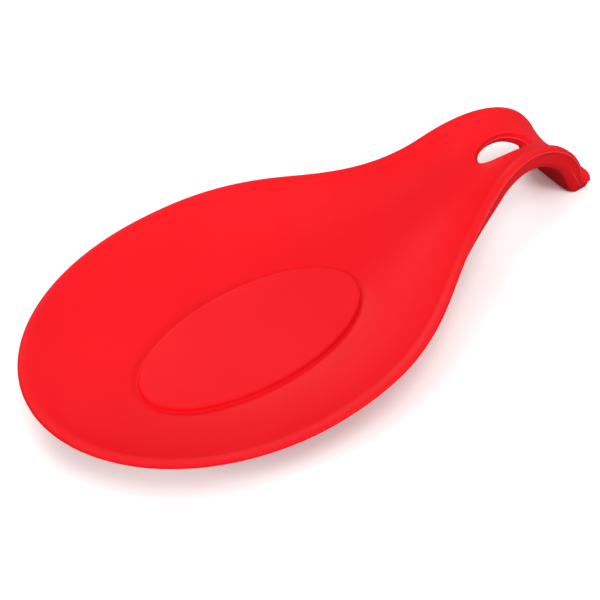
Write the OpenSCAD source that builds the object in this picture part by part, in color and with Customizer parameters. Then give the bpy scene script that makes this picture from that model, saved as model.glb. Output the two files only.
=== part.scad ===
// Silicone spoon rest: a shallow teardrop bowl with a raised oval pad, drawn out into a narrow
// channelled handle that rises, arches over and comes down again to a foot on the table.
// The real one is moulded in one piece, so it is one closed shell here.
// Millimetres. X runs to the tip of the handle, Z is up, and the origin is the middle of the flat base.
// The shell is drawn flat, in distances along and across the rest, and is then bent along its side view.

/* [Size] */
// Length of the whole rest, from the front edge of the bowl to the tip of the handle
rest_len = 197.4; // [190:0.2:206]

/* [Bowl] */
// Length from the front edge of the bowl to its widest place
bowl_front = 66.5; // [58:0.5:76]
// Width of the bowl at its widest place
bowl_w = 99.2; // [86:0.2:110]
// Height of the parting line round the bowl above the table
rim_h = 15.3; // [13:0.1:17]
// How much higher the rim stands at the front of the bowl
front_lift = 1.6; // [0.2:0.1:4]
// Length over which the rim comes down from there
front_lift_reach = 82; // [60:1:90]
// Thickness of the bowl's floor
floor_t = 2.2; // [1.6:0.1:3]
// Length over which the bowl's side leaves its widest place before it turns in
shoulder_reach = 58.5; // [45:0.5:70]

/* [Pad] */
// Distance from the front edge of the bowl to the middle of the raised pad
pad_from_front = 73; // [68:0.5:76]
// Length of the raised pad
pad_len = 76.2; // [64:0.2:80]
// Width of the raised pad
pad_w = 37.4; // [30:0.2:42]
// Height of the pad's top above the floor round it
pad_rise = 1.5; // [0.8:0.1:2]
// Width of flat base outside the pad's edge
base_margin = 3; // [2:0.5:5]

/* [Rim] */
// Width of the flat band inside the bowl's edge
bowl_band_w = 3.4; // [2.5:0.1:4.5]
// Width of the same band along the handle
handle_band_w = 2.6; // [2:0.1:3]
// Rounding of the bowl's edge, above the parting line
bowl_crown = 0.7; // [0.5:0.1:1.2]
// Rounding of the handle's edge, above the parting line
handle_crown = 1; // [0.7:0.1:1.4]
// How far the band falls inwards
band_fall = 0.15; // [0:0.05:0.3]
// How far the parting line stands out of the side
ridge = 0.2; // [0.1:0.05:0.3]
// Height of the upright side under the parting line of the bowl
bowl_lip = 0.6; // [0.5:0.1:1.5]
// Height of the upright side under the parting line of the handle
handle_lip = 3.8; // [2.8:0.1:4.2]
// Height of the upright side under the parting line of the foot
foot_lip = 3.8; // [2.6:0.1:4]
// How far that side leans in at its foot
lip_draft = 0.3; // [0.1:0.05:0.5]

/* [Handle] */
// Width of the handle
handle_w = 24.7; // [20:0.1:28]
// Distance from the top of the arch to where the handle gets its own width
neck_end_past_crest = 21.2; // [16:0.2:22]
// Length over which the neck runs into the handle's width
neck_reach = 65; // [50:1:72]
// Height of the parting line at the top of the arch
crest_h = 28; // [26.5:0.1:32]
// Radius of the arch
crest_r = 27.6; // [22:0.2:30]
// Radius of the bend between the bowl and the slope up to the arch
rise_r = 71; // [60:1:86]
// Slope up to the arch, in degrees
rise_angle = 27.2; // [20:0.2:29]
// Slope down from the arch, in degrees
drop_angle = 68.6; // [60:0.2:72]
// Depth of the handle's channel below its band where it leaves the bowl
neck_channel = 9; // [7:0.2:11]
// Depth of the channel below the band at the top of the arch
crest_channel = 5.2; // [4:0.2:7]
// Depth of the channel below the band at the foot
foot_channel = 3.2; // [2:0.2:4]
// Thickness of the handle's plate under the channel
plate_t = 2.8; // [2.4:0.1:4]

/* [Foot] */
// Height of the parting line at the tip
tip_h = 3.3; // [3:0.1:5]
// Radius of the parting line in the bend above the foot
foot_r = 1.3; // [1.2:0.1:3]
// Slope of the tongue, in degrees
tongue_angle = 12; // [6:1:18]
// Length of the tongue past the bend
tongue_len = 3.7; // [3.3:0.1:6]
// Length of the rounded end of the tongue
tip_round = 3.1; // [2.4:0.1:3.6]

/* [Hanging hole] */
// Length of the hole along the channel
hole_len = 22.2; // [16:0.2:25]
// Width of the hole
hole_w = 8.4; // [6:0.2:9]
// Rounding of the hole's edges
hole_edge = 0.8; // [0.4:0.1:1]
// Distance from the top of the arch to the middle of the hole, along the parting line
hole_past_crest = 6.2; // [4:0.2:8]

/* [Hidden] */

// Shares, chosen by hand
wall_start_share = 0.25;                 // steepness of the wall where it leaves the floor
channel_start_share = 0.645;             // where the bowl's section begins to turn into the handle's
channel_end_share = 0.92;                // where it has turned into it, of the way to the top of the arch
tip_power = 5;                           // squareness of the tip, seen from above
neck_power = 2.4;                        // squareness of the handle's underside at the neck
foot_power = 6;                          // the same at the foot
pad_ring_shares = [0.35, 0.7];           // rings inside the pad
wall_ring_shares = [0.08, 0.17, 0.28, 0.4, 0.52, 0.64, 0.75, 0.85, 0.93];
hole_edge_shares = [0, 0.15, 0.45, 1];   // rings on the rounding of the hole
neck_share = 0.78;                       // where the bowl's rings end, of the way to the top of the arch

// Pad's edge: how far out, in shares of the pad's rise, and how high
pad_edge_shares = [[-0.4, 1], [-0.12, 0.93], [0, 0.76], [0.09, 0.36], [0.2, 0.1], [0.5, 0]];

// Steps of the mesh
front_steps = 16;
back_steps = 14;
rise_steps = 7;
hole_steps = 16;
crest_steps = 4;
drop_steps = 3;
foot_steps = 5;
tip_steps = 8;
columns = 10;
edge_angles = [90, 60, 30];

function mix(a, b, t) = a + (b - a) * t;
function ease(t) = let (u = min(max(t, 0), 1)) u * u * (3 - 2 * u);
function arc_length(r, a) = r * a * PI / 180;

// Side view of the parting line: lengths and turns of its stretches, from the bowl's front edge
bend_top_h = tip_h + tongue_len * sin(tongue_angle) + foot_r * (cos(tongue_angle) - cos(drop_angle));
drop_len = (crest_h - crest_r * (1 - cos(drop_angle)) - bend_top_h) / sin(drop_angle);
foot_reach = foot_r * (sin(drop_angle) - sin(tongue_angle)) + tongue_len * cos(tongue_angle);
crest_from_front = rest_len - crest_r * sin(drop_angle) - drop_len * cos(drop_angle) - foot_reach;
slope_len = (crest_h - rim_h - (rise_r + crest_r) * (1 - cos(rise_angle))) / sin(rise_angle);
rise_from_front = crest_from_front - (crest_r + rise_r) * sin(rise_angle) - slope_len * cos(rise_angle);
handle_from_front = crest_from_front + neck_end_past_crest;
lift_r = (front_lift_reach * front_lift_reach + front_lift * front_lift) / (2 * front_lift);
lift_angle = asin(front_lift_reach / lift_r);
STRETCHES = [
    [arc_length(lift_r, lift_angle), lift_angle],
    [rise_from_front - front_lift_reach, 0],
    [arc_length(rise_r, rise_angle), rise_angle],
    [slope_len, 0],
    [arc_length(crest_r, rise_angle + drop_angle), -rise_angle - drop_angle],
    [drop_len, 0],
    [arc_length(foot_r, drop_angle - tongue_angle), drop_angle - tongue_angle],
    [tongue_len, 0],
];

// Place after going a distance from a start [x, z, heading], along a stretch of a length and a turn
function go(start, stretch, d) =
    let (h = start[2] + stretch[1] * d / stretch[0])
    let (r = stretch[1] == 0 ? 0 : stretch[0] * 180 / PI / stretch[1])
    stretch[1] == 0
        ? [start[0] + d * cos(h), start[1] + d * sin(h), h]
        : [start[0] + r * (sin(h) - sin(start[2])), start[1] + r * (cos(start[2]) - cos(h)), h];

function lengths_to(n) = n == 0 ? 0 : lengths_to(n - 1) + STRETCHES[n - 1][0];
function start_of(n) = n == 0
    ? [0, rim_h + front_lift, -lift_angle]
    : go(start_of(n - 1), STRETCHES[n - 1], STRETCHES[n - 1][0]);
ENDS = [for (n = [1 : len(STRETCHES)]) lengths_to(n)];
STARTS = [for (n = [0 : len(STRETCHES) - 1]) start_of(n)];
total_len = ENDS[len(ENDS) - 1];

function stretch_at(l, n = 0) = n == len(STRETCHES) - 1 || l < ENDS[n] ? n : stretch_at(l, n + 1);
function pose(l) = let (n = stretch_at(l)) go(STARTS[n], STRETCHES[n], l - lengths_to(n));

// Places along the parting line
crest_l = ENDS[3] + arc_length(crest_r, rise_angle);
drop_l = ENDS[4];
bend_l = ENDS[5];
tongue_l = ENDS[6];
tip_l = total_len - tip_round;
neck_l = neck_share * crest_l;
hole_l = crest_l + hole_past_crest;
hole_b = hole_w / 2;
hole_a = hole_len / 2 * crest_r / (crest_r - crest_channel + handle_crown);

// Half the width of the rest, from a Bezier curve between the bowl's widest place and the handle
function bezier(a, b, c, d, t) =
    a * pow(1 - t, 3) + 3 * b * t * pow(1 - t, 2) + 3 * c * t * t * (1 - t) + d * pow(t, 3);
function side_x(t) = bezier(
    bowl_front, bowl_front + shoulder_reach, handle_from_front - neck_reach, handle_from_front, t);
function side_y(t) = bezier(bowl_w / 2, bowl_w / 2, handle_w / 2, handle_w / 2, t);
function side_t(x, low = 0, high = 1, tries = 18) =
    let (t = (low + high) / 2)
    tries == 0 ? t : side_x(t) < x ? side_t(x, t, high, tries - 1) : side_t(x, low, t, tries - 1);
function half_w(l) = let (x = pose(l)[0]) x <= bowl_front ? bowl_w / 2 : side_y(side_t(x));

// Where a point lies in the rest's outline: [share of the way out from the middle, the whole way]
function way_out(l, v) =
    l < bowl_front
        ? let (s = norm([(bowl_front - l) / bowl_front, v / (bowl_w / 2)]))
          [s, s == 0 ? bowl_w / 2 : norm([bowl_front - l, v]) / s]
        : l > tip_l
        ? let (b = half_w(tip_l))
          let (s = pow(pow((l - tip_l) / tip_round, tip_power) + pow(abs(v) / b, tip_power), 1 / tip_power))
          [s, s == 0 ? b : norm([l - tip_l, v]) / s]
        : [abs(v) / half_w(l), half_w(l)];

// Sizes that change along the handle
function handle_share(l) =
    ease((l / crest_l - channel_start_share) / (channel_end_share - channel_start_share));
function foot_share(l) = ease((l - crest_l) / (tongue_l - crest_l));
function band_w(l) = mix(bowl_band_w, handle_band_w, handle_share(l));
function crown(l) = mix(bowl_crown, handle_crown, handle_share(l));
function rise_share(l) = ease((l - neck_l) / (crest_l - neck_l));
function lip(l) = mix(mix(bowl_lip, handle_lip, rise_share(l)), foot_lip, foot_share(l));
function channel(l) = mix(mix(neck_channel, crest_channel, rise_share(l)), foot_channel, foot_share(l));
function power(l) = mix(neck_power, foot_power, ease((l - neck_l) / (tongue_l - neck_l)));

// Share of the way up the wall at a point between an oval on the floor and the edge
function wall_share(l, v, oval, s, whole, edge) =
    let (e = norm([(l - pad_from_front) / oval[0], v / oval[1]]))
    let (inner = e <= 1 ? 0 : norm([l - pad_from_front, v]) * (1 - 1 / e))
    let (outer = whole * max(edge * edge - s * s, 0) / (2 * edge))
    let (q = inner == 0 ? 0 : inner / (inner + outer))
    q * mix(wall_start_share, 1, q);

// Rounding round the hole: how far a face has turned in at a point
function hole_turn(l, v) =
    let (p = [(l - hole_l) / hole_a, v / hole_b])
    let (f = max(norm(p), 1))
    let (d = (f - 1) * norm(p) / norm([p[0] / hole_a, p[1] / hole_b]))
    d >= hole_edge ? 0 : hole_edge - sqrt(hole_edge * hole_edge - pow(hole_edge - d, 2));

// Distance down from the bowl's parting line, square to it, to a height above the table
function down_to(l, h) = let (at = pose(min(l, ENDS[1]))) (at[1] - h) / cos(at[2]);

// Heights of the two faces above the parting line, square to it
function top_n(l, v) =
    let (way = way_out(l, v))
    let (edge = 1 - band_w(l) / way[1])
    let (band_n = crown(l) - band_fall)
    let (bowl = (down_to(l, floor_t) + band_n) * (1 - wall_share(l, v, PAD_FOOT, way[0], way[1], edge)))
    let (groove = channel(l) * max(1 - pow(way[0] / edge, 2), 0))
    band_n - mix(bowl, groove, handle_share(l)) - hole_turn(l, v);
function bottom_n(l, v) =
    let (way = way_out(l, v))
    let (edge = 1 - (ridge + lip_draft) / way[1])
    let (bowl = (down_to(l, 0) - lip(l)) * (1 - wall_share(l, v, BASE, way[0], way[1], edge)))
    let (depth = channel(l) - crown(l) + band_fall + plate_t - lip(l))   // of the belly below the side
    let (belly = depth * pow(max(1 - pow(way[0] / edge, power(l)), 0), 1 / power(l)))
    -lip(l) - mix(bowl, belly, handle_share(l)) + hole_turn(l, v);

pad_edge_end = pad_edge_shares[len(pad_edge_shares) - 1][0] * pad_rise;
PAD = [pad_len / 2, pad_w / 2];
PAD_FOOT = [PAD[0] + pad_edge_end, PAD[1] + pad_edge_end];
BASE = [PAD[0] + base_margin, PAD[1] + base_margin];

// Bends the flat drawing: a point along, across and above the parting line goes to its real place
function place(p, n) =
    let (at = pose(p[0]))
    [at[0] - n * sin(at[2]) - pad_from_front, p[1], max(at[1] + n * cos(at[2]), 0)];

// Rows across the rest, each from a point in the middle to one on the edge, as [middle, edge, hole's side]
function steps(a, b, n) = [for (k = [1 : n]) mix(a, b, k / n)];
function hole_side(l) = let (u = (l - hole_l) / hole_a) abs(u) >= 1 ? 0 : hole_b * sqrt(1 - u * u);
edge_steps = len(hole_edge_shares) - 1;
along = concat(
    steps(bowl_front, neck_l, back_steps),
    steps(neck_l, hole_l - hole_a - hole_edge, rise_steps),
    [for (k = [edge_steps - 1 : -1 : 0]) hole_l - hole_a - hole_edge * hole_edge_shares[k]],
    [for (k = [1 : hole_steps - 1]) hole_l - hole_a * cos(180 * k / hole_steps)],
    [for (k = [0 : edge_steps]) hole_l + hole_a + hole_edge * hole_edge_shares[k]],
    steps(hole_l + hole_a + hole_edge, drop_l, crest_steps),
    steps(drop_l, bend_l, drop_steps),
    steps(bend_l, tongue_l, foot_steps),
    [tip_l]);
ROWS = concat(
    [for (k = [0 : front_steps]) let (a = 90 * k / front_steps)
        [[bowl_front, 0], [bowl_front * (1 - cos(a)), bowl_w / 2 * sin(a)], 0]],
    [for (l = along) [[l, 0], [l, half_w(l)], hole_side(l)]],
    [for (k = [1 : tip_steps]) let (a = 90 * k / tip_steps)
        [[tip_l, 0], [tip_l + tip_round * pow(sin(a), 2 / tip_power),
                      half_w(tip_l) * pow(max(cos(a), 0), 2 / tip_power)], 0]]);
last_row = len(ROWS) - 1;
neck_row = front_steps + back_steps;
hole_row = neck_row + rise_steps + edge_steps;
tip_row = last_row - tip_steps;

// Edge of a row: points from the inside of the band over the crown, the parting line and down the side
function edge_points(row) =
    let (l = row[1][0])
    let (c = crown(l))
    concat(
        [[band_w(l), c - band_fall]],
        [for (a = edge_angles) [ridge + c * (1 - cos(a)), c * sin(a)]],
        [[ridge, ridge], [0, 0], [ridge, -ridge], [ridge + lip_draft, -lip(l)]]);
EDGE_ROWS = [for (row = ROWS) edge_points(row)];
edge_last = len(EDGE_ROWS[0]) - 1;

function inwards(row, d) = row[1] + (row[0] - row[1]) * d / norm(row[0] - row[1]);
function edge_place(i, k, side) =
    let (p = inwards(ROWS[i], EDGE_ROWS[i][k][0]))
    place([p[0], side * p[1]], EDGE_ROWS[i][k][1]);

// Columns of a row between its middle and its edge, drawn close together beside the hole
function hole_nearness(l) =
    ease((l - neck_l) / (hole_l - hole_a - neck_l)) * (1 - foot_share(l) * foot_share(l));
function column_share(i, j, reach) =
    let (tight = hole_edge / reach)
    let (close = j < len(hole_edge_shares)
        ? hole_edge_shares[j] * tight
        : mix(tight, 1, (j - edge_steps) / (columns - edge_steps)))
    mix(j / columns, close, hole_nearness(ROWS[i][0][0]));
function column_point(i, j, k) =
    let (row = ROWS[i])
    let (inner = row[0] + [0, row[2]])
    let (outer = inwards(row, EDGE_ROWS[i][k][0]))
    inner + (outer - inner) * column_share(i, j, norm(outer - inner));

// Points, in blocks: both edges, the columns of both faces, the wall of the hole and the rings of the bowl
SIDES = [1, -1];
EDGE_POINTS = [for (side = SIDES) for (i = [0 : last_row]) for (k = [0 : edge_last]) edge_place(i, k, side)];
function face_n(face, p) = face == 0 ? top_n(p[0], p[1]) : bottom_n(p[0], p[1]);
FACE_POINTS = [for (face = [0, 1]) for (side = SIDES) for (i = [neck_row : last_row])
    for (j = [0 : columns - 1]) let (p = column_point(i, j, face * edge_last))
        place([p[0], side * p[1]], face_n(face, p))];
WALL_POINTS = [for (side = SIDES) for (i = [hole_row : hole_row + hole_steps])
    let (p = column_point(i, 0, 0))
    let (q = [hole_l, 0] + (p - [hole_l, 0]) * (1 - ridge / hole_b))
    place([q[0], side * q[1]], (top_n(p[0], p[1]) + bottom_n(p[0], p[1])) / 2)];

edge_block = 0;
face_block = len(EDGE_POINTS);
wall_block = face_block + len(FACE_POINTS);
ring_block = wall_block + len(WALL_POINTS);

// Numbers of the points. A point on the middle line is one point for both sides.
function edge_id(i, k, s) =
    let (side = i == 0 || i == last_row ? 0 : s)
    edge_block + (side * (last_row + 1) + i) * (edge_last + 1) + k;
function in_hole(i) = i > hole_row && i < hole_row + hole_steps;
function face_id(face, i, j, s) =
    j == columns
        ? edge_id(i, face * edge_last, s)
        : let (row = j == 0 ? min(i, tip_row) : i)
          let (side = i == last_row || (j == 0 && !in_hole(i)) ? 0 : s)
          face_block + (((face * 2 + side) * (last_row - neck_row + 1)) + row - neck_row) * columns + j;
function wall_id(i, s) = wall_block + (in_hole(i) ? s : 0) * (hole_steps + 1) + i - hole_row;

// Loop round the bowl, as [row, column, side]: up one edge, across the neck and back along the other
LOOP = concat(
    [for (i = [0 : neck_row]) [i, columns, 0]],
    [for (j = [columns - 1 : -1 : 0]) [neck_row, j, 0]],
    [for (j = [1 : columns]) [neck_row, j, 1]],
    [for (i = [neck_row - 1 : -1 : 1]) [i, columns, 1]]);
loop_count = len(LOOP);
function loop_point(m, face) =
    let (at = LOOP[m])
    let (p = at[1] == columns
        ? inwards(ROWS[at[0]], EDGE_ROWS[at[0]][face * edge_last][0])
        : column_point(at[0], at[1], face * edge_last))
    [p[0], SIDES[at[2]] * p[1]];
function loop_id(m, face) = face_id(face, LOOP[m][0], LOOP[m][1], LOOP[m][2]);

// Rings of a face of the bowl, from the middle outwards, as [point, height]
function oval_point(p, oval) =
    let (a = atan2(p[1] / oval[1], (p[0] - pad_from_front) / oval[0]))
    [pad_from_front + oval[0] * cos(a), oval[1] * sin(a)];
function level(r, h) = [r, -down_to(r[0], h)];
function pad_rings(p) = concat(
    [for (q = pad_ring_shares) level(oval_point(p, PAD * q), floor_t + pad_rise)],
    [for (e = pad_edge_shares)
        let (out = e[0] * pad_rise)
        level(oval_point(p, PAD + [out, out]), floor_t + pad_rise * e[1])]);
function base_rings(p) = concat(
    [for (q = pad_ring_shares) level(oval_point(p, BASE * q), 0)],
    [level(oval_point(p, BASE), 0)]);
function wall_rings(p, face) =
    let (foot = oval_point(p, face == 0 ? PAD_FOOT : BASE))
    [for (q = wall_ring_shares) let (r = mix(foot, p, q)) [r, face_n(face, r)]];
function rings(face) = [for (m = [0 : loop_count - 1]) let (p = loop_point(m, face))
    concat(face == 0 ? pad_rings(p) : base_rings(p), wall_rings(p, face))];
RINGS = [rings(0), rings(1)];
ring_count = [len(RINGS[0][0]), len(RINGS[1][0])];
pad_middle = [pad_from_front, 0];
MIDDLES = [for (h = [floor_t + pad_rise, 0]) place(pad_middle, -down_to(pad_from_front, h))];
RING_POINTS = [for (face = [0, 1]) for (m = [0 : loop_count - 1])
    for (ring = RINGS[face][m]) place(ring[0], ring[1])];
middle_block = ring_block + len(RING_POINTS);
function ring_id(face, m, k) =
    k < 0 ? middle_block + face
    : k == ring_count[face] ? loop_id(m % loop_count, face)
    : ring_block + face * loop_count * ring_count[0] + (m % loop_count) * ring_count[face] + k;

POINTS = concat(EDGE_POINTS, FACE_POINTS, WALL_POINTS, RING_POINTS, MIDDLES);

// A four-cornered patch as triangles, without those that have shrunk to a line
function whole(t) = t[0] != t[1] && t[1] != t[2] && t[2] != t[0];
function turned(t, back) = back ? [t[0], t[2], t[1]] : t;
function patch(a, b, c, d, back) =
    [for (t = [[a, b, c], [a, c, d]]) if (whole(t)) turned(t, back)];

EDGE_FACES = [for (s = [0, 1]) for (i = [0 : last_row - 1]) for (k = [0 : edge_last - 1])
    each patch(edge_id(i, k, s), edge_id(i + 1, k, s), edge_id(i + 1, k + 1, s),
               edge_id(i, k + 1, s), s == 0)];
HANDLE_FACES = [for (face = [0, 1]) for (s = [0, 1])
    for (i = [neck_row : last_row - 1]) for (j = [0 : columns - 1])
    each patch(face_id(face, i, j, s), face_id(face, i + 1, j, s), face_id(face, i + 1, j + 1, s),
               face_id(face, i, j + 1, s), (face == 0) == (s == 0))];
WALL_FACES = [for (s = [0, 1]) for (i = [hole_row : hole_row + hole_steps - 1]) for (half = [0, 1])
    let (a = half == 0 ? face_id(0, i, 0, s) : wall_id(i, s))
    let (b = half == 0 ? face_id(0, i + 1, 0, s) : wall_id(i + 1, s))
    let (c = half == 0 ? wall_id(i + 1, s) : face_id(1, i + 1, 0, s))
    let (d = half == 0 ? wall_id(i, s) : face_id(1, i, 0, s))
    each patch(a, b, c, d, s == 1)];
BOWL_FACES = [for (face = [0, 1]) for (m = [0 : loop_count - 1]) for (k = [-1 : ring_count[face] - 1])
    each patch(ring_id(face, m, k), ring_id(face, m + 1, k), ring_id(face, m + 1, k + 1),
               ring_id(face, m, k + 1), face == 0)];

module spoon_rest() {
    color("crimson")
        polyhedron(
            points = POINTS,
            faces = concat(EDGE_FACES, HANDLE_FACES, WALL_FACES, BOWL_FACES),
            convexity = 6);
}

spoon_rest();
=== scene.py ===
"""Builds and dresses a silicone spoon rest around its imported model, and sets the studio"""

import math
from functools import partial

import bmesh
import bpy
import numpy as np
from mathutils import Matrix, Vector


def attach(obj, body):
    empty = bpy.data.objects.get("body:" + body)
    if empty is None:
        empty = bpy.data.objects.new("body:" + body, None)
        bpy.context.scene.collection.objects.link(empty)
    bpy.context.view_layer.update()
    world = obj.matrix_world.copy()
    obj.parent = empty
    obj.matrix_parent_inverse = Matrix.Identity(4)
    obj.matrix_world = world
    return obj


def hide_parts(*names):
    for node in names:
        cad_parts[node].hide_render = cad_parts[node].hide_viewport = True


bl_info = {
    "name": "Silicone Spoon Rest",
    "version": (1, 0, 0),
    "blender": (4, 5, 0),
    "location": "View3D > Sidebar > Spoon Rest",
    "description": "Models a moulded silicone spoon rest with a channelled, arched handle",
    "category": "Add Mesh",
}

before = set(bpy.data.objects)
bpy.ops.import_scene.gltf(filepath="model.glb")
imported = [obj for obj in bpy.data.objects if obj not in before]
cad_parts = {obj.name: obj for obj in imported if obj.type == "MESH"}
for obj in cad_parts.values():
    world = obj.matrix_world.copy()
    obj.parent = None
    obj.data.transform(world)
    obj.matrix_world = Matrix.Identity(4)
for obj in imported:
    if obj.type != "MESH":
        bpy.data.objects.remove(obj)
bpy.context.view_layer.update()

MM = 0.001
TINY = 1e-9


def length(name, description, millimetres):
    """A length that a user can change, written here in millimetres"""
    return bpy.props.FloatProperty(
        name=name, description=description, default=millimetres * MM, unit="LENGTH", precision=5)


def angle(name, description, degrees):
    """An angle that a user can change, written here in degrees"""
    return bpy.props.FloatProperty(
        name=name, description=description, default=math.radians(degrees), subtype="ANGLE")


# Sizes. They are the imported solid's, but for the foot and the upright side of the handle, whose
# last differences from the photograph are followed here, and for the handle's lean and turn.

class BowlSizes(bpy.types.PropertyGroup):
    """Sizes of the bowl, its pad and its rim"""

    front: length("Front", "From the front edge to the widest place", 66.5)
    width: length("Width", "Width at the widest place", 99.2)
    rim_height: length("Rim height", "Height of the parting line above the table", 15.3)
    front_lift: length("Front lift", "How much higher the rim stands at the front", 1.6)
    lift_reach: length("Lift reach", "Length over which the rim comes down from there", 82)
    floor: length("Floor", "Thickness of the floor", 2.2)
    shoulder_reach: length("Shoulder reach", "How far the side holds its widest direction", 58.5)
    pad_centre: length("Pad centre", "From the front edge to the middle of the pad", 73)
    pad_length: length("Pad length", "Length of the raised pad", 76.2)
    pad_width: length("Pad width", "Width of the raised pad", 37.4)
    pad_rise: length("Pad rise", "Height of the pad above the floor round it", 1.5)
    base_margin: length("Base margin", "Width of flat base outside the pad", 3)
    band: length("Band", "Width of the flat band inside the edge", 3.4)
    crown: length("Crown", "Rounding of the edge above the parting line", 0.7)
    lip: length("Lip", "Height of the upright side under the parting line", 0.6)


class HandleSizes(bpy.types.PropertyGroup):
    """Sizes of the handle, its arch and its foot"""

    rest_length: length("Rest length", "From the bowl's front edge to the tip", 197.4)
    width: length("Width", "Width of the handle", 24.7)
    neck_end: length("Neck end", "From the top of the arch to the handle's own width", 21.2)
    neck_reach: length("Neck reach", "How far the neck runs along the handle's direction", 65)
    crest_height: length("Crest height", "Height of the parting line at the top of the arch", 28)
    crest_radius: length("Crest radius", "Radius of the arch", 27.6)
    rise_radius: length("Rise radius", "Radius of the bend between the bowl and the slope", 71)
    rise_angle: angle("Rise angle", "Slope up to the arch", 27.2)
    drop_angle: angle("Drop angle", "Slope down from the arch", 68.6)
    neck_channel: length("Neck channel", "Depth of the channel at the bowl", 9)
    crest_channel: length("Crest channel", "Depth of the channel at the top of the arch", 5.2)
    foot_channel: length("Foot channel", "Depth of the channel at the foot", 1.2)
    plate: length("Plate", "Thickness under the channel", 2.8)
    foot_plate: length("Foot plate", "Thickness under the channel at the foot", 6)
    shoulder: length("Shoulder", "How far the parting line lies below the tongue's edge", 1.1)
    band: length("Band", "Width of the flat band inside the edge", 2.6)
    crown: length("Crown", "Rounding of the edge above the parting line", 1)
    lip: length("Lip", "Height of the upright side under the parting line", 4.4)
    foot_lip: length("Foot lip", "Height of the upright side at the foot", 2.1)
    tip_height: length("Tip height", "Height of the parting line at the tip", 3.3)
    foot_radius: length("Foot radius", "Radius of the parting line above the foot", 1.3)
    tongue_angle: angle("Tongue angle", "Slope of the tongue", 12)
    tongue: length("Tongue", "Length of the tongue", 3.7)
    tip_round: length("Tip round", "Length of the rounded end", 3.1)
    lean: length("Lean", "How far the soft handle leans to its near side at the foot", 0.8)
    turn_back: length("Turn back", "How far the tongue's far corner stands behind the near", 2.2)


class HoleSizes(bpy.types.PropertyGroup):
    """Sizes of the hanging hole"""

    length: length("Length", "Length along the channel", 22.2)
    width: length("Width", "Width across the channel", 8.4)
    edge: length("Edge", "Rounding of its edges", 0.8)
    past_crest: length("Past crest", "From the top of the arch to its middle", 6.2)


class SiliconeLook(bpy.types.PropertyGroup):
    """Colour and surface of the silicone"""

    colour: bpy.props.FloatVectorProperty(
        name="Colour", description="Colour of the silicone", subtype="COLOR",
        size=4, min=0, max=1, default=(0.93, 0.011, 0.018, 1))
    deep_colour: bpy.props.FloatVectorProperty(
        name="Deep colour", description="Colour where the pigment lies thicker", subtype="COLOR",
        size=4, min=0, max=1, default=(0.88, 0.008, 0.014, 1))
    # Painted highlight: the pale red mixed into the thin ridges of the parting line and the hole,
    # and into a line low on the handle's side
    flash_highlight_colour: bpy.props.FloatVectorProperty(
        name="Flash colour", description="Colour of the thin flash from the mould", subtype="COLOR",
        size=4, min=0, max=1, default=(1, 0.3, 0.3, 1))
    roughness: bpy.props.FloatProperty(
        name="Roughness", description="Roughness of the satin surface", default=0.42, min=0, max=1)
    specular: bpy.props.FloatProperty(
        name="Specular", description="Strength of the shine", default=0.08, min=0, max=1)
    grain: length("Grain", "Height of the moulded grain", 0.012)


class StudioSizes(bpy.types.PropertyGroup):
    """Camera, even light and floor"""

    azimuth: angle("Azimuth", "Direction the camera looks, from above", 38.677)
    elevation: angle("Elevation", "How far the camera looks down", 46.527)
    distance: length("Distance", "From the camera to the plane it looks at", 706.52)
    shift_right: length("Shift right", "How far the picture's middle is to the right", 71.07)
    shift_up: length("Shift up", "How far the picture's middle is up", 46.02)
    focal: bpy.props.FloatProperty(
        name="Focal length", description="Focal length on a 36 mm sensor", default=151.43,
        subtype="DISTANCE_CAMERA")
    sky: bpy.props.FloatProperty(
        name="Sky", description="Strength of the even light from all round", default=0.57, min=0)
    floor_grey: bpy.props.FloatProperty(
        name="Floor grey", description="Tone of the floor for the light it throws back",
        default=0.22, min=0)
    floor_white: bpy.props.FloatProperty(
        name="Floor white", description="Tone of the floor as the camera sees it",
        default=1.48, min=0)


GROUPS = (BowlSizes, HandleSizes, HoleSizes, SiliconeLook, StudioSizes)
GROUP_NAMES = ("rest_bowl", "rest_handle", "rest_hole", "rest_silicone", "rest_studio")


# The form: drawn flat, along and across the rest, then bent along its side view

SIDES = (1, -1)
TOP, UNDER = 0, 1

# Numbers of some stretches of the side view, in the order of RestForm.lay_side_path
LEVEL, SLOPE, ARCH, DROP, BEND = 1, 3, 4, 5, 6

# Small sizes of the edge: the band's fall from the crown, the ridge that the mould leaves on the
# parting line, and the slant of the upright side under it
BAND_FALL = 0.15 * MM
RIDGE = 0.2 * MM
LIP_DRAFT = 0.3 * MM

# Steepness of the bowl's wall at its foot, against that at the rim
WALL_START = 0.25

# Shares of the way to the crest: where the dish turns into the channel, and where the neck begins
CHANNEL_START = 0.645
CHANNEL_END = 0.92
NECK = 0.78

# Powers in the growth of the upright side up the neck and in its loss towards the foot
LIP_RISE = 1.6
LIP_FALL = 3

# Distances from the tip at which the tongue's turn begins and is complete
TURN_START = 5.6 * MM
TURN_END = 1.9 * MM

# Powers of the rounded sections: the tip in plan, and the underside at the neck and at the foot
TIP_POWER = 5
NECK_POWER = 2.4
FOOT_POWER = 5

# Rings of the pad, as shares of it, and its edge as (way out, height), both in heights of the pad
PAD_RINGS = (0.15, 0.3, 0.45, 0.6, 0.72, 0.82)
BASE_RINGS = PAD_RINGS + (0.92, 1)
PAD_EDGE = (
    (-0.8, 1), (-0.5, 0.998), (-0.32, 0.985), (-0.2, 0.96), (-0.1, 0.91), (-0.04, 0.84), (0, 0.76),
    (0.03, 0.64), (0.06, 0.5), (0.09, 0.36), (0.13, 0.22), (0.19, 0.11), (0.27, 0.04), (0.37, 0.01),
    (0.5, 0))
NECK_SAMPLES = 4001


def mix(a, b, t):
    """Goes from a to b as t goes from 0 to 1"""
    return a + (b - a) * t


def ease(t):
    """Smooth step from 0 to 1"""
    t = np.clip(t, 0, 1)
    return t * t * (3 - 2 * t)


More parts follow.
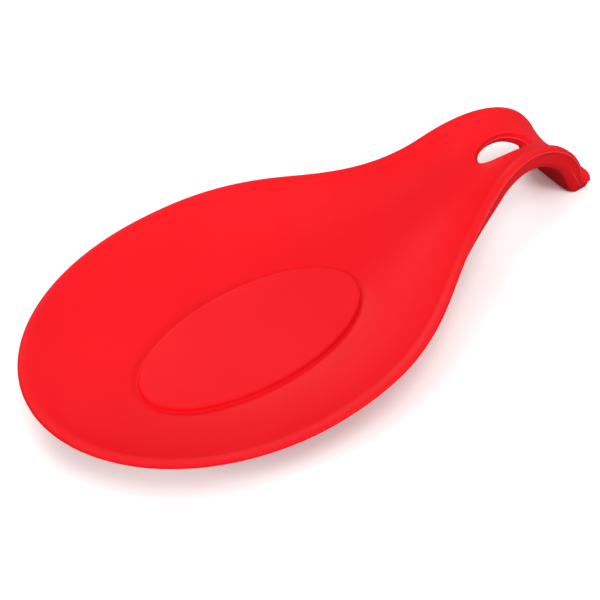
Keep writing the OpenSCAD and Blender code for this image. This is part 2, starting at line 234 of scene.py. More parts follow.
class RestForm:
    """The faces of the rest as formulas: places along its parting line, widths and heights"""

    def __init__(self, bowl, handle, hole):
        self.bowl, self.handle, self.hole = bowl, handle, hole
        self.lay_side_path()
        crest_turn = handle.crest_radius * handle.rise_angle
        self.crest = self.ends[SLOPE] + crest_turn
        self.drop, self.bend, self.tongue = self.ends[ARCH], self.ends[DROP], self.ends[BEND]
        self.tip = self.ends[-1] - handle.tip_round
        self.neck = NECK * self.crest
        self.hole_middle = self.crest + hole.past_crest
        self.hole_half_width = hole.width / 2
        stretch = handle.crest_radius / (handle.crest_radius - handle.crest_channel + handle.crown)
        self.hole_half_length = hole.length / 2 * stretch
        self.pad = np.array([bowl.pad_length / 2, bowl.pad_width / 2])
        self.pad_foot = self.pad + PAD_EDGE[-1][0] * bowl.pad_rise
        self.base = self.pad + bowl.base_margin
        self.tip_half_width = float(self.half_width(np.array([self.tip]))[0])

    def lay_side_path(self):
        """Lines and arcs of the parting line in side view, as (length, turn)"""
        bowl, handle = self.bowl, self.handle
        rise, drop, tongue = handle.rise_angle, handle.drop_angle, handle.tongue_angle
        bend_top = (handle.tip_height + handle.tongue * math.sin(tongue)
                    + handle.foot_radius * (math.cos(tongue) - math.cos(drop)))
        fall = handle.crest_height - handle.crest_radius * (1 - math.cos(drop)) - bend_top
        foot_reach = (handle.foot_radius * (math.sin(drop) - math.sin(tongue))
                      + handle.tongue * math.cos(tongue))
        self.crest_x = (handle.rest_length - handle.crest_radius * math.sin(drop)
                        - fall / math.tan(drop) - foot_reach)
        radii = handle.rise_radius + handle.crest_radius
        climb = handle.crest_height - bowl.rim_height
        slope = (climb - radii * (1 - math.cos(rise))) / math.sin(rise)
        start = self.crest_x - radii * math.sin(rise) - slope * math.cos(rise)
        lift_radius = (bowl.lift_reach ** 2 + bowl.front_lift ** 2) / (2 * bowl.front_lift)
        lift = math.asin(bowl.lift_reach / lift_radius)
        self.stretches = (
            (lift_radius * lift, lift),
            (start - bowl.lift_reach, 0),
            (handle.rise_radius * rise, rise),
            (slope, 0),
            (handle.crest_radius * (rise + drop), -rise - drop),
            (fall / math.sin(drop), 0),
            (handle.foot_radius * (drop - tongue), drop - tongue),
            (handle.tongue, 0),
        )
        self.ends = np.cumsum([stretch[0] for stretch in self.stretches])
        self.starts = [(0.0, bowl.rim_height + bowl.front_lift, -lift)]
        for stretch in self.stretches:
            x, z, heading = self.go(self.starts[-1], stretch, np.array([stretch[0]]))
            self.starts.append((float(x[0]), float(z[0]), float(heading[0])))

    @staticmethod
    def go(start, stretch, distance):
        """Place and heading after going some distance along one stretch"""
        x, z, heading = start
        size, turn = stretch
        at = heading + turn * distance / size
        if turn == 0:
            return x + distance * math.cos(heading), z + distance * math.sin(heading), at
        radius = size / turn
        x = x + radius * (np.sin(at) - math.sin(heading))
        return x, z + radius * (math.cos(heading) - np.cos(at)), at

    def pose(self, along):
        """Place and heading of the parting line"""
        x, z, heading = (np.zeros_like(along) for _ in range(3))
        index = np.searchsorted(self.ends, along, side="right")
        index = np.minimum(index, len(self.stretches) - 1)
        for number, stretch in enumerate(self.stretches):
            here = index == number
            past = along[here] - (self.ends[number] - stretch[0])
            x[here], z[here], heading[here] = self.go(self.starts[number], stretch, past)
        return x, z, heading

    def place(self, along, across, height):
        """Bends the flat drawing: from along, across and above the parting line to real places"""
        x, z, heading = self.pose(along)
        up = np.maximum(z + height * np.cos(heading), 0)
        return self.lean(x - height * np.sin(heading), across, up)

    def lean(self, x, across, up):
        """Leans the soft handle a little to one side and turns its tongue, as the real one lies"""
        handle = self.handle
        left = handle.rest_length - x
        foot = ease(1 - left / (handle.rest_length - self.crest_x))
        side = across / (handle.width / 2)
        turned = ease((TURN_START - left) / (TURN_START - TURN_END))
        x = x - handle.turn_back * turned * (1 + side) / 2 - self.bowl.pad_centre
        return np.stack([x, across - foot * handle.lean, up], axis=-1)

    def half_width(self, along):
        """Half the width of the rest, from a Bezier curve between the bowl and the handle"""
        bowl, handle = self.bowl, self.handle
        t = np.linspace(0, 1, NECK_SAMPLES)
        end = self.crest_x + handle.neck_end
        weights = (1 - t) ** 3, 3 * t * (1 - t) ** 2, 3 * t * t * (1 - t), t ** 3
        places = bowl.front, bowl.front + bowl.shoulder_reach, end - handle.neck_reach, end
        side_x = sum(weight * place for weight, place in zip(weights, places))
        share = weights[0] + weights[1]
        side_y = mix(handle.width / 2, bowl.width / 2, share)
        x = self.pose(along)[0]
        return np.where(x <= bowl.front, bowl.width / 2, np.interp(x, side_x, side_y))

    def way_out(self, along, across):
        """Share of the way from the middle to the outline, and the whole way"""
        bowl, handle = self.bowl, self.handle
        half = self.half_width(along)
        share, whole = np.abs(across) / half, half.copy()
        front = along < bowl.front
        out = np.hypot((bowl.front - along) / bowl.front, across / (bowl.width / 2))
        reach = np.hypot(bowl.front - along, across)
        share[front] = out[front]
        whole[front] = np.where(out > 0, reach / np.maximum(out, TINY), bowl.width / 2)[front]
        end = along > self.tip
        past = np.maximum(along - self.tip, 0)
        out = ((past / handle.tip_round) ** TIP_POWER
               + (np.abs(across) / self.tip_half_width) ** TIP_POWER) ** (1 / TIP_POWER)
        reach = np.hypot(past, across)
        share[end] = out[end]
        whole[end] = np.where(out > 0, reach / np.maximum(out, TINY), self.tip_half_width)[end]
        return share, whole

    def handle_share(self, along):
        """0 in the bowl, 1 on the handle"""
        return ease((along / self.crest - CHANNEL_START) / (CHANNEL_END - CHANNEL_START))

    def foot_share(self, along):
        """0 up to the crest, 1 on the tongue"""
        return ease((along - self.crest) / (self.tongue - self.crest))

    def band(self, along):
        return mix(self.bowl.band, self.handle.band, self.handle_share(along))

    def crown(self, along):
        return mix(self.bowl.crown, self.handle.crown, self.handle_share(along))

    def neck_share(self, along):
        """0 up to the neck, 1 from the crest on"""
        return ease((along - self.neck) / (self.crest - self.neck))

    def drop_share(self, along):
        """0 up to the slope down, 1 on the tongue"""
        return ease((along - self.drop) / (self.tongue - self.drop))

    def lip(self, along):
        lip = mix(self.bowl.lip, self.handle.lip, self.neck_share(along) ** LIP_RISE)
        return mix(lip, self.handle.foot_lip, self.foot_share(along) ** LIP_FALL)

    def shoulder(self, along):
        return self.handle.shoulder * self.drop_share(along)

    def plate(self, along):
        return mix(self.handle.plate, self.handle.foot_plate, self.foot_share(along))

    def channel(self, along):
        handle = self.handle
        depth = mix(handle.neck_channel, handle.crest_channel, self.neck_share(along))
        return mix(depth, handle.foot_channel, self.foot_share(along))

    def down_to(self, along, height):
        """Distance down from the bowl's parting line, square to it, to a height"""
        _, z, heading = self.pose(np.minimum(along, self.ends[LEVEL]))
        return (z - height) / np.cos(heading)

    def wall_share(self, along, across, oval, share, whole, edge):
        """Share of the way up the bowl's wall between an oval on the floor and the edge"""
        x = along - self.bowl.pad_centre
        ring = np.hypot(x / oval[0], across / oval[1])
        inner = np.where(ring <= 1, 0, np.hypot(x, across) * (1 - 1 / np.maximum(ring, TINY)))
        outer = whole * np.maximum(edge * edge - share * share, 0) / (2 * edge)
        climb = np.where(inner <= 0, 0, inner / np.maximum(inner + outer, TINY))
        return climb * mix(WALL_START, 1, climb)

    def hole_turn(self, along, across):
        """How far a face has turned in towards the hole"""
        a, b, edge = self.hole_half_length, self.hole_half_width, self.hole.edge
        px, py = (along - self.hole_middle) / a, across / b
        size = np.maximum(np.hypot(px, py), TINY)
        away = (np.maximum(size, 1) - 1) * size / np.maximum(np.hypot(px / a, py / b), TINY)
        left = np.maximum(edge - away, 0)
        return np.where(away >= edge, 0, edge - np.sqrt(edge * edge - left * left))

    def top(self, along, across):
        """Height of the upper face above the parting line, square to it"""
        bowl = self.bowl
        share, whole = self.way_out(along, across)
        edge = 1 - self.band(along) / whole
        brim = self.crown(along) - BAND_FALL
        climb = self.wall_share(along, across, self.pad_foot, share, whole, edge)
        dish = (self.down_to(along, bowl.floor) + brim) * (1 - climb)
        groove = self.channel(along) * np.maximum(1 - (share / edge) ** 2, 0)
        return brim - mix(dish, groove, self.handle_share(along)) - self.hole_turn(along, across)

    def under(self, along, across):
        """Height of the lower face above the parting line, square to it"""
        share, whole = self.way_out(along, across)
        edge = 1 - (RIDGE + LIP_DRAFT) / whole
        climb = self.wall_share(along, across, self.base, share, whole, edge)
        dish = (self.down_to(along, 0) - self.lip(along)) * (1 - climb)
        brim = self.crown(along) - BAND_FALL
        depth = self.channel(along) - brim + self.plate(along) - self.lip(along)
        rounding = ease((along - self.neck) / (self.tongue - self.neck))
        power = mix(NECK_POWER, FOOT_POWER, rounding)
        belly = depth * np.maximum(1 - (share / edge) ** power, 0) ** (1 / power)
        fall = self.lip(along) + mix(dish, belly, self.handle_share(along))
        return self.hole_turn(along, across) - fall

    def face(self, face, along, across):
        return self.top(along, across) if face == TOP else self.under(along, across)


# The mesh: rows across the rest, rings in the bowl, and the wall of the hole

# Rows in each part of the length, columns from the middle to the edge, and steps on the crown
STEPS = {
    "front": 72, "back": 60, "rise": 26, "hole": 64, "crest": 16, "drop": 14, "foot": 18,
    "tongue": 3, "tip": 30}
COLUMNS = 34
CROWN_STEPS = 9

# Section of the ridge, as (share of its width inwards, share of its width up), and the points
# down the upright side, as shares of its height
RIDGE_SECTION = ((1, 0.9), (0.4, 0.3), (0, 0), (0.4, -0.3), (1, -0.9))
LIP_SHARES = (0.35, 0.7, 0.86, 0.93, 1)

# Rounding of the hole's edge, as shares of it, and the rings up the bowl's wall, as shares of it
HOLE_EDGE_STEPS = 7
HOLE_EDGE = 1 - np.cos(np.pi / 2 * np.arange(HOLE_EDGE_STEPS + 1) / HOLE_EDGE_STEPS)
WALL_STEPS = 36
WALL_EASE = 0.35
WALL_PLACES = np.arange(1, WALL_STEPS) / WALL_STEPS
WALL_RINGS = mix(WALL_PLACES, ease(WALL_PLACES), WALL_EASE)

# Levels down the hole's wall, as (share of the way down, share of the ridge that stands out)
HOLE_LEVELS = ((0.2, 0), (0.42, 0), (0.48, 0.5), (0.5, 1), (0.52, 0.5), (0.58, 0), (0.8, 0))

# How much painted highlight pales the thin mould ridges: on three points of the ridge, there in the
# bowl, and in the hole. The second, lower line of painted highlight, on the upright side, starts at
# a share of the way from the crest to the slope down, and takes another such share to show in full.
FLASH_HIGHLIGHT_SHARES = ((CROWN_STEPS + 2, 0.1), (CROWN_STEPS + 3, 0.8), (CROWN_STEPS + 4, 0.1))
BOWL_FLASH_HIGHLIGHT = 0.25
HOLE_FLASH_HIGHLIGHT = 0.7
LOW_HIGHLIGHT_START = 0.85
LOW_HIGHLIGHT_REACH = 0.5


class RestMesh:
    """Points and faces of the whole rest as one closed shell"""

    def __init__(self, form):
        self.form = form
        self.lay_rows()
        self.lay_edges()
        self.blocks, self.count = [], 0
        self.add_edges()
        self.add_faces()
        self.add_hole_wall()
        self.add_rings()
        self.points = np.concatenate(self.blocks)
        self.mark_flash_highlight()

    def add(self, points):
        """Keeps a block of points and returns the number of its first one"""
        first = self.count
        self.blocks.append(points.reshape(-1, 3))
        self.count += len(self.blocks[-1])
        return first

    def lay_rows(self):
        """Rows across the rest, each from a point in the middle to one on the outline"""
        form, steps = self.form, STEPS
        bowl, handle, hole = form.bowl, form.handle, form.hole
        a, middle = form.hole_half_length, form.hole_middle
        edge = HOLE_EDGE * hole.edge

        def between(start, end, count):
            return mix(start, end, np.arange(1, count + 1) / count)

        turn = np.pi * np.arange(1, steps["hole"]) / steps["hole"]
        along = np.concatenate([
            between(bowl.front, form.neck, steps["back"]),
            between(form.neck, middle - a - hole.edge, steps["rise"]),
            (middle - a - edge)[-2::-1],
            middle - a * np.cos(turn),
            middle + a + edge,
            between(middle + a + hole.edge, form.drop, steps["crest"]),
            between(form.drop, form.bend, steps["drop"]),
            between(form.bend, form.tongue, steps["foot"]),
            between(form.tongue, form.tip, steps["tongue"]),
        ])
        front = np.pi / 2 * np.arange(steps["front"] + 1) / steps["front"]
        end = np.pi / 2 * np.arange(1, steps["tip"] + 1) / steps["tip"]
        tip_x = form.tip + handle.tip_round * np.sin(end) ** (2 / TIP_POWER)
        tip_y = form.tip_half_width * np.maximum(np.cos(end), 0) ** (2 / TIP_POWER)
        tip_y[-1] = 0
        front_x, front_y = bowl.front * (1 - np.cos(front)), bowl.width / 2 * np.sin(front)
        in_hole = np.maximum(1 - ((along - middle) / a) ** 2, 0)
        side = form.hole_half_width * np.sqrt(in_hole)
        self.middle_x = np.concatenate([0 * front + bowl.front, along, 0 * end + form.tip])
        self.side_y = np.concatenate([0 * front, side, 0 * end])
        self.edge_x = np.concatenate([front_x, along, tip_x])
        self.edge_y = np.concatenate([front_y, form.half_width(along), tip_y])
        self.last = len(self.middle_x) - 1
        self.neck_row = steps["front"] + steps["back"]
        self.hole_row = self.neck_row + steps["rise"] + HOLE_EDGE_STEPS
        self.tip_row = self.last - steps["tip"]

    def lay_edges(self):
        """Section of the edge: over the crown, across the parting line and down the side"""
        form = self.form
        crown, band, lip = form.crown(self.edge_x), form.band(self.edge_x), form.lip(self.edge_x)
        shoulder = form.shoulder(self.edge_x)
        tall = crown + shoulder
        turn = np.pi / 2 * (1 - np.arange(CROWN_STEPS) / CROWN_STEPS)
        section = [(band, crown - BAND_FALL)]
        section += [(RIDGE + tall * (1 - math.cos(t)), tall * math.sin(t) - shoulder) for t in turn]
        section += [(RIDGE * inward, RIDGE * up - shoulder) for inward, up in RIDGE_SECTION]
        section += [(RIDGE + LIP_DRAFT * s, mix(-RIDGE - shoulder, -lip, s)) for s in LIP_SHARES]
        self.inward = np.stack([inward + 0 * crown for inward, _ in section], axis=1)
        self.height = np.stack([height for _, height in section], axis=1)
        self.edge_last = len(section) - 1

    def inwards(self, row, distance):
        """Point some way in from the outline along a row"""
        dx, dy = self.middle_x[row] - self.edge_x[row], -self.edge_y[row]
        size = np.hypot(dx, dy)
        return self.edge_x[row] + dx / size * distance, self.edge_y[row] + dy / size * distance

    def add_edges(self):
        rows = np.arange(self.last + 1)
        x, y = self.inwards(rows[:, None], self.inward)
        points = [self.form.place(x, side * y, self.height) for side in SIDES]
        self.edge_block = self.add(np.array(points))

    def column_point(self, row, column, kind):
        """Point of a column: close together beside the hole, evenly spaced elsewhere"""
        form = self.form
        outer_x, outer_y = self.inwards(row, self.inward[row, kind])
        inner_x, inner_y = self.middle_x[row], self.side_y[row]
        reach = np.hypot(outer_x - inner_x, outer_y - inner_y)
        tight = form.hole.edge / np.maximum(reach, TINY)
        close = np.where(column <= HOLE_EDGE_STEPS,
                         HOLE_EDGE[np.minimum(column, HOLE_EDGE_STEPS)] * tight,
                         mix(tight, 1, (column - HOLE_EDGE_STEPS) / (COLUMNS - HOLE_EDGE_STEPS)))
        hole_start = form.hole_middle - form.hole_half_length
        near = ease((inner_x - form.neck) / (hole_start - form.neck))
        near = near * (1 - form.foot_share(inner_x) ** 2)
        share = mix(column / COLUMNS, close, near)
        return mix(inner_x, outer_x, share), mix(inner_y, outer_y, share)

    def add_faces(self):
        rows = np.arange(self.neck_row, self.last + 1)[:, None]
        columns = np.arange(COLUMNS)[None, :]
        points = []
        for face in (TOP, UNDER):
            x, y = self.column_point(rows, columns, face * self.edge_last)
            height = self.form.face(face, x, y)
            points += [self.form.place(x, side * y, height) for side in SIDES]
        self.face_block = self.add(np.array(points))

    def add_hole_wall(self):
        form = self.form
        rows = np.arange(self.hole_row, self.hole_row + STEPS["hole"] + 1)
        x, y = self.column_point(rows, np.zeros_like(rows), 0)
        top, under = form.top(x, y), form.under(x, y)
        points = []
        for depth, proud in HOLE_LEVELS:
            keep = 1 - proud * RIDGE / form.hole_half_width
            px, py = mix(form.hole_middle, x, keep), y * keep
            height = mix(top, under, depth)
            points.append([form.place(px, side * py, height) for side in SIDES])
        self.wall_block = self.add(np.array(points))

    def oval(self, x, y, oval):
        """Points of an oval round the pad's middle that lie towards other points"""
        centre = self.form.bowl.pad_centre
        turn = np.arctan2(y / oval[1], (x - centre) / oval[0])
        return centre + oval[0] * np.cos(turn), oval[1] * np.sin(turn)

    def level(self, x, y, height):
        """Places of points of the bowl at a height above the table"""
        return self.form.place(x, y, -self.form.down_to(x, height))

    def add_rings(self):
        """Rings of both faces of the bowl, from the middle out to a loop that crosses the neck"""
        form, bowl = self.form, self.form.bowl
        neck = self.neck_row
        loop = [(row, COLUMNS, 0) for row in range(neck + 1)]
        loop += [(neck, column, 0) for column in range(COLUMNS - 1, -1, -1)]
        loop += [(neck, column, 1) for column in range(1, COLUMNS + 1)]
        loop += [(row, COLUMNS, 1) for row in range(neck - 1, 0, -1)]
        self.loop = loop
        row, column, side = (np.array(part) for part in zip(*loop))
        self.ring_blocks, self.ring_counts, self.middles = [], [], []
        for face in (TOP, UNDER):
            x, y = self.column_point(row, column, face * self.edge_last)
            y = y * np.where(side == 0, 1, -1)
            if face == TOP:
                flat, foot = bowl.floor + bowl.pad_rise, form.pad_foot
                rings = [self.level(*self.oval(x, y, form.pad * q), flat) for q in PAD_RINGS]
                for out, up in PAD_EDGE:
                    rim = self.oval(x, y, form.pad + out * bowl.pad_rise)
                    rings.append(self.level(*rim, bowl.floor + bowl.pad_rise * up))
            else:
                flat, foot = 0, form.base
                rings = [self.level(*self.oval(x, y, foot * q), flat) for q in BASE_RINGS]
            foot_x, foot_y = self.oval(x, y, foot)
            for share in WALL_RINGS:
                px, py = mix(foot_x, x, share), mix(foot_y, y, share)
                rings.append(form.place(px, py, form.face(face, px, py)))
            self.ring_blocks.append(self.add(np.array(rings)))
            self.ring_counts.append(len(rings))
            centre = np.array([bowl.pad_centre])
            self.middles.append(self.add(self.level(centre, 0 * centre, flat)))

    def mark_flash_highlight(self):
        """How much painted highlight pales the thin mould ridge at each point of the parting line
        and of the hole
        """
        form, at = self.form, self.edge_x
        self.flash_highlight = np.zeros(self.count)
        upper = mix(BOWL_FLASH_HIGHLIGHT, 1, form.handle_share(at)) * (1 - form.drop_share(at))
        fallen = (at - form.crest) / (form.drop - form.crest)
        lower = ease((fallen - LOW_HIGHLIGHT_START) / LOW_HIGHLIGHT_REACH)
        rows, size = np.arange(self.last + 1), self.edge_last + 1
        for side in (0, 1):
            first = self.edge_block + (side * (self.last + 1) + rows) * size
            for k, share in FLASH_HIGHLIGHT_SHARES:
                self.flash_highlight[first + k] = upper * share
            # Painted highlight along a line low on the upright side
            self.flash_highlight[first + self.edge_last - 1] = lower
        size = 2 * (STEPS["hole"] + 1)
        for level, (_, proud) in enumerate(HOLE_LEVELS):
            first = self.wall_block + level * size
            self.flash_highlight[first:first + size] = HOLE_FLASH_HIGHLIGHT * proud ** 2

    # Numbers of the points. A point on the middle line is one point for both sides.

    def edge_id(self, row, k, side):
        side = 0 if row in (0, self.last) else side
        return self.edge_block + (side * (self.last + 1) + row) * (self.edge_last + 1) + k

    def in_hole(self, row):
        return self.hole_row < row < self.hole_row + STEPS["hole"]

    def face_id(self, face, row, column, side):
        if column == COLUMNS:
            return self.edge_id(row, face * self.edge_last, side)
        if column == 0:
            row = min(row, self.tip_row)
            side = side if self.in_hole(row) else 0
        if row == self.last:
            side = 0
        rows = self.last - self.neck_row + 1
        return self.face_block + ((face * 2 + side) * rows + row - self.neck_row) * COLUMNS + column

    def wall_id(self, row, level, side):
        """A point of the hole's wall, whose first and last levels are the edges of the faces"""
        if level == 0:
            return self.face_id(TOP, row, 0, side)
        if level == len(HOLE_LEVELS) + 1:
            return self.face_id(UNDER, row, 0, side)
        side = side if self.in_hole(row) else 0
        rows = STEPS["hole"] + 1
        return self.wall_block + ((level - 1) * 2 + side) * rows + row - self.hole_row

    def ring_id(self, face, place, ring):
        place %= len(self.loop)
        if ring < 0:
            return self.middles[face]
        if ring == self.ring_counts[face]:
            row, column, side = self.loop[place]
            return self.face_id(face, row, column, side)
        return self.ring_blocks[face] + ring * len(self.loop) + place

    def faces(self):
        """All faces, seen from outside in counter-clockwise order"""
        found = []

        def patch(point, u, v, back):
            """Face between four neighbouring points, with doubled corners left out"""
            corners = [point(u, v), point(u + 1, v), point(u + 1, v + 1), point(u, v + 1)]
            corners = [p for k, p in enumerate(corners) if p != corners[k - 1]]
            if len(corners) > 2:
                found.append(corners[::-1] if back else corners)

        for side in (0, 1):
            edge = partial(self.edge_id, side=side)
            wall = partial(self.wall_id, side=side)
            for row in range(self.last):
                for k in range(self.edge_last):
                    patch(edge, row, k, side == 1)
            for face in (TOP, UNDER):
                point = partial(self.face_id, face, side=side)
                for row in range(self.neck_row, self.last):
                    for column in range(COLUMNS):
                        patch(point, row, column, (face == TOP) != (side == 0))
            for row in range(self.hole_row, self.hole_row + STEPS["hole"]):
                for level in range(len(HOLE_LEVELS) + 1):
                    patch(wall, row, level, side == 0)
        for face in (TOP, UNDER):
            point = partial(self.ring_id, face)
            for place in range(len(self.loop)):
                for ring in range(-1, self.ring_counts[face]):
                    patch(point, place, ring, face == UNDER)
        return found


# Materials

# Scales of the noises in tone, gloss and grain, the part of its noise over which the tone changes,
# how far the roughness goes down and up, and how strongly the grain shows
TONE_SCALE, GLOSS_SCALE, GRAIN_SCALE = 22, 160, 2600
TONE_RANGE = (0.3, 0.7)
GLOSS_RANGE = (-0.03, 0.05)
GRAIN_STRENGTH = 0.35

# How light spreads inside the silicone: its share, how far red, green and blue go, and the unit
SPREAD = 0.12
SPREAD_RADIUS = (1.0, 0.15, 0.1)
SPREAD_SCALE = 1.5 * MM


def node(tree, kind, at, **values):
    """Adds a shader node and sets its settings, or else its inputs, by name"""
    made = tree.nodes.new(kind)
    made.location = at
    for name, value in values.items():
        if hasattr(made, name):
            setattr(made, name, value)
        else:
            made.inputs[name.replace("_", " ").title()].default_value = value
    return made


def grey(tone):
    return tone, tone, tone, 1


def new_material(name):
    """An empty node material and its output"""
    material = bpy.data.materials.new(name)
    material.use_nodes = True
    tree = material.node_tree
    tree.nodes.clear()
    return material, tree, tree.nodes.new("ShaderNodeOutputMaterial")


def silicone_material(look):
    """Satin red silicone: slow changes of tone, fine moulded grain and a soft, even gloss"""
    material, tree, output = new_material("red_silicone")
    links = tree.links
    place = node(tree, "ShaderNodeTexCoord", (-1100, 0)).outputs["Object"]

    def noise(height, scale, detail, roughness):
        made = node(tree, "ShaderNodeTexNoise", (-850, height), scale=scale, detail=detail,
                    roughness=roughness)
        links.new(place, made.inputs["Vector"])
        return made.outputs["Fac"]

    tone = node(tree, "ShaderNodeValToRGB", (-600, 200))
    colours = look.deep_colour, look.colour
    for stop, at, colour in zip(tone.color_ramp.elements, TONE_RANGE, colours):
        stop.position, stop.color = at, colour
    links.new(noise(200, TONE_SCALE, 3, 0.5), tone.inputs["Fac"])
    least, most = (look.roughness + change for change in GLOSS_RANGE)
    gloss = node(tree, "ShaderNodeMapRange", (-600, -60), to_min=least, to_max=most)
    links.new(noise(-450, GLOSS_SCALE, 2, 0.5), gloss.inputs["Value"])
    grain = node(tree, "ShaderNodeBump", (-400, -250), strength=GRAIN_STRENGTH, distance=look.grain)
    links.new(noise(-200, GRAIN_SCALE, 2, 0.6), grain.inputs["Height"])
    # Painted highlight: this attribute mixes the tone towards a pale red along the thin ridges,
    # standing in for the light that they catch
    flash_highlight = node(tree, "ShaderNodeAttribute", (-600, 420), attribute_name="flash_highlight")
    pale = node(tree, "ShaderNodeMix", (-350, 300), data_type="RGBA")
    pale.inputs["B"].default_value = look.flash_highlight_colour
    links.new(flash_highlight.outputs["Fac"], pale.inputs["Factor"])
    links.new(tone.outputs["Color"], pale.inputs["A"])
    shader = node(tree, "ShaderNodeBsdfPrincipled", (-150, 100), subsurface_weight=SPREAD,
                  subsurface_radius=SPREAD_RADIUS, subsurface_scale=SPREAD_SCALE)
    shader.inputs["Specular IOR Level"].default_value = look.specular
    links.new(pale.outputs["Result"], shader.inputs["Base Color"])
    links.new(gloss.outputs["Result"], shader.inputs["Roughness"])
    links.new(grain.outputs["Normal"], shader.inputs["Normal"])
    links.new(shader.outputs["BSDF"], output.inputs["Surface"])
    return material


def floor_material(studio):
    """Matt floor, white to the camera but dull to other light, so that little red comes to it"""
    material, tree, output = new_material("studio_floor")
    links = tree.links
    ray = node(tree, "ShaderNodeLightPath", (-700, 0))
    either = node(tree, "ShaderNodeMixShader", (-150, 0))
    links.new(ray.outputs["Is Camera Ray"], either.inputs["Fac"])
    for socket, tone in ((1, studio.floor_grey), (2, studio.floor_white)):
        shader = node(tree, "ShaderNodeBsdfDiffuse", (-400, 300 - 200 * socket))
        shader.inputs["Color"].default_value = grey(tone)
        links.new(shader.outputs["BSDF"], either.inputs[socket])
    links.new(either.outputs["Shader"], output.inputs["Surface"])
    return material


# Operators

class SPOONREST_OT_shell(bpy.types.Operator):
    """Builds the moulded shell of the spoon rest and gives it its silicone"""

    bl_idname = "spoonrest.shell"
    bl_label = "Spoon Rest Shell"

    def execute(self, context):
        scene = context.scene
        built = RestMesh(RestForm(scene.rest_bowl, scene.rest_handle, scene.rest_hole))
        mesh = bpy.data.meshes.new("rest_shell")
        mesh.from_pydata(built.points.tolist(), [], built.faces())
        # The attribute added here is the mask of the painted highlight on the thin ridges
        mesh.attributes.new("flash_highlight", "FLOAT", "POINT").data.foreach_set("value", built.flash_highlight)
        shell = bpy.data.objects.new("rest_shell", mesh)
        scene.collection.objects.link(shell)
        clean(mesh)
        mesh.materials.append(silicone_material(scene.rest_silicone))
        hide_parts("spoon_rest")
        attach(shell, "root")
        return {"FINISHED"}


def clean(mesh):
    """Removes the points that no face uses, and turns and smooths the faces"""
    work = bmesh.new()
    work.from_mesh(mesh)
    loose = [point for point in work.verts if not point.link_faces]
    bmesh.ops.delete(work, geom=loose, context="VERTS")
    bmesh.ops.recalc_face_normals(work, faces=work.faces)
    work.to_mesh(mesh)
    work.free()
    mesh.validate()
    mesh.polygons.foreach_set("use_smooth", np.ones(len(mesh.polygons), dtype=bool))


class SPOONREST_OT_stage(bpy.types.Operator):
    """Sets the floor, the soft lamps, the world and the camera"""

    bl_idname = "spoonrest.stage"
    bl_label = "Spoon Rest Stage"

    def execute(self, context):
        scene = context.scene
        studio = scene.rest_studio
        add_floor(scene, studio)
        add_lamps(scene)
        add_world(scene, studio)
        add_camera(scene, studio)
        scene.view_settings.view_transform = "Standard"
        return {"FINISHED"}


FLOOR_REACH = 3.0
LAMP_REACH = 1.5
LAMP_SIZE = 0.6

# Azimuth and height above the table in degrees, and power, of each soft lamp
LAMPS = {
    "lamp_left": (180, 30, 6.4),
    "lamp_camera": (240, 68, 3.0),
    "lamp_right": (300, 18, 8.4),
    "lamp_behind": (70, 34, 4.4),
}

# The camera's sensor width in millimetres, and the nearest and farthest that it sees, in metres
SENSOR = 36
CLIP = (0.01, 20)


def add_floor(scene, studio):
    """A wide floor on which the rest lies"""
    mesh = bpy.data.meshes.new("studio_floor")
    ways = (-1, -1), (1, -1), (1, 1), (-1, 1)
    corners = [(x * FLOOR_REACH, y * FLOOR_REACH, 0) for x, y in ways]
    mesh.from_pydata(corners, [], [(0, 1, 2, 3)])
    floor = bpy.data.objects.new("studio_floor", mesh)
    mesh.materials.append(floor_material(studio))
    scene.collection.objects.link(floor)


def add_lamps(scene):
    """Soft lamps round the rest, all at one distance from it"""
    for name, (turn, rise, power) in LAMPS.items():
        light = bpy.data.lights.new(name, "AREA")
        light.shape, light.size, light.energy = "DISK", LAMP_SIZE, power
        lamp = bpy.data.objects.new(name, light)
        turn, rise = math.radians(turn), math.radians(rise)
        flat = math.cos(rise)
        way = Vector((math.cos(turn) * flat, math.sin(turn) * flat, math.sin(rise)))
        lamp.location = way * LAMP_REACH
        lamp.rotation_euler = way.to_track_quat("Z", "Y").to_euler()
        scene.collection.objects.link(lamp)


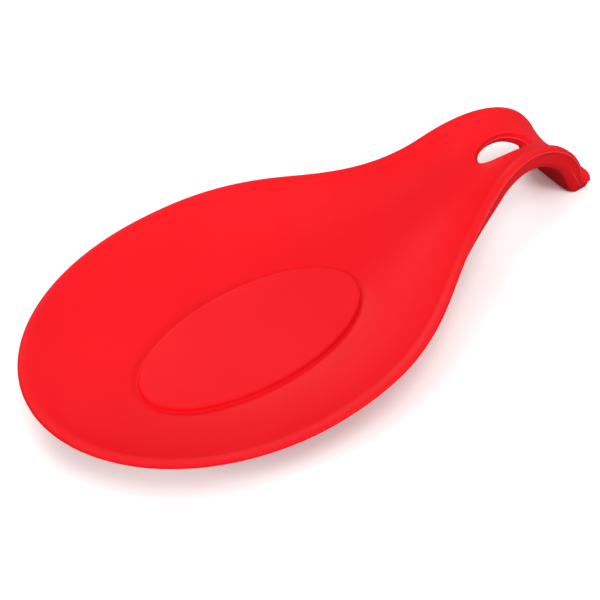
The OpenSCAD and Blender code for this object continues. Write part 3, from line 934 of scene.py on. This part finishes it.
def add_world(scene, studio):
    """Even pale light from all round"""
    world = bpy.data.worlds.new("studio_world")
    world.use_nodes = True
    tree = world.node_tree
    tree.nodes.clear()
    output = tree.nodes.new("ShaderNodeOutputWorld")
    sky = node(tree, "ShaderNodeBackground", (-200, 0), strength=studio.sky)
    sky.inputs["Color"].default_value = grey(1)
    tree.links.new(sky.outputs["Background"], output.inputs["Surface"])
    scene.world = world


def add_camera(scene, studio):
    """The camera at the photograph's angle"""
    turn, tilt = studio.azimuth, studio.elevation
    flat = math.cos(tilt)
    back = Vector((-math.sin(turn) * flat, -math.cos(turn) * flat, math.sin(tilt)))
    right = Vector((math.cos(turn), -math.sin(turn), 0))
    up = back.cross(right)
    at = right * studio.shift_right + up * studio.shift_up + back * studio.distance
    at.x -= scene.rest_bowl.pad_centre
    data = bpy.data.cameras.new("camera")
    data.sensor_width, data.lens = SENSOR, studio.focal
    data.clip_start, data.clip_end = CLIP
    camera = bpy.data.objects.new("camera", data)
    camera.matrix_world = Matrix.Translation(at) @ Matrix((right, up, back)).transposed().to_4x4()
    scene.collection.objects.link(camera)
    scene.camera = camera


class SPOONREST_PT_panel(bpy.types.Panel):
    """Sizes and builders of the spoon rest"""

    bl_label = "Spoon Rest"
    bl_idname = "SPOONREST_PT_panel"
    bl_space_type = "VIEW_3D"
    bl_region_type = "UI"
    bl_category = "Spoon Rest"

    def draw(self, context):
        layout = self.layout
        for group in GROUP_NAMES:
            box = layout.box()
            sizes = getattr(context.scene, group)
            for name in sizes.__annotations__:
                box.prop(sizes, name)
        for operator in OPERATORS:
            layout.operator(operator.bl_idname)


OPERATORS = (SPOONREST_OT_shell, SPOONREST_OT_stage)


def register():
    for kind in GROUPS + OPERATORS + (SPOONREST_PT_panel,):
        bpy.utils.register_class(kind)
    for name, group in zip(GROUP_NAMES, GROUPS):
        setattr(bpy.types.Scene, name, bpy.props.PointerProperty(type=group))


def unregister():
    for name in GROUP_NAMES:
        delattr(bpy.types.Scene, name)
    for kind in reversed(GROUPS + OPERATORS + (SPOONREST_PT_panel,)):
        bpy.utils.unregister_class(kind)


def main():
    """Builds everything in order"""
    register()
    bpy.ops.spoonrest.shell()
    bpy.ops.spoonrest.stage()


if __name__ == "__main__":
    main()
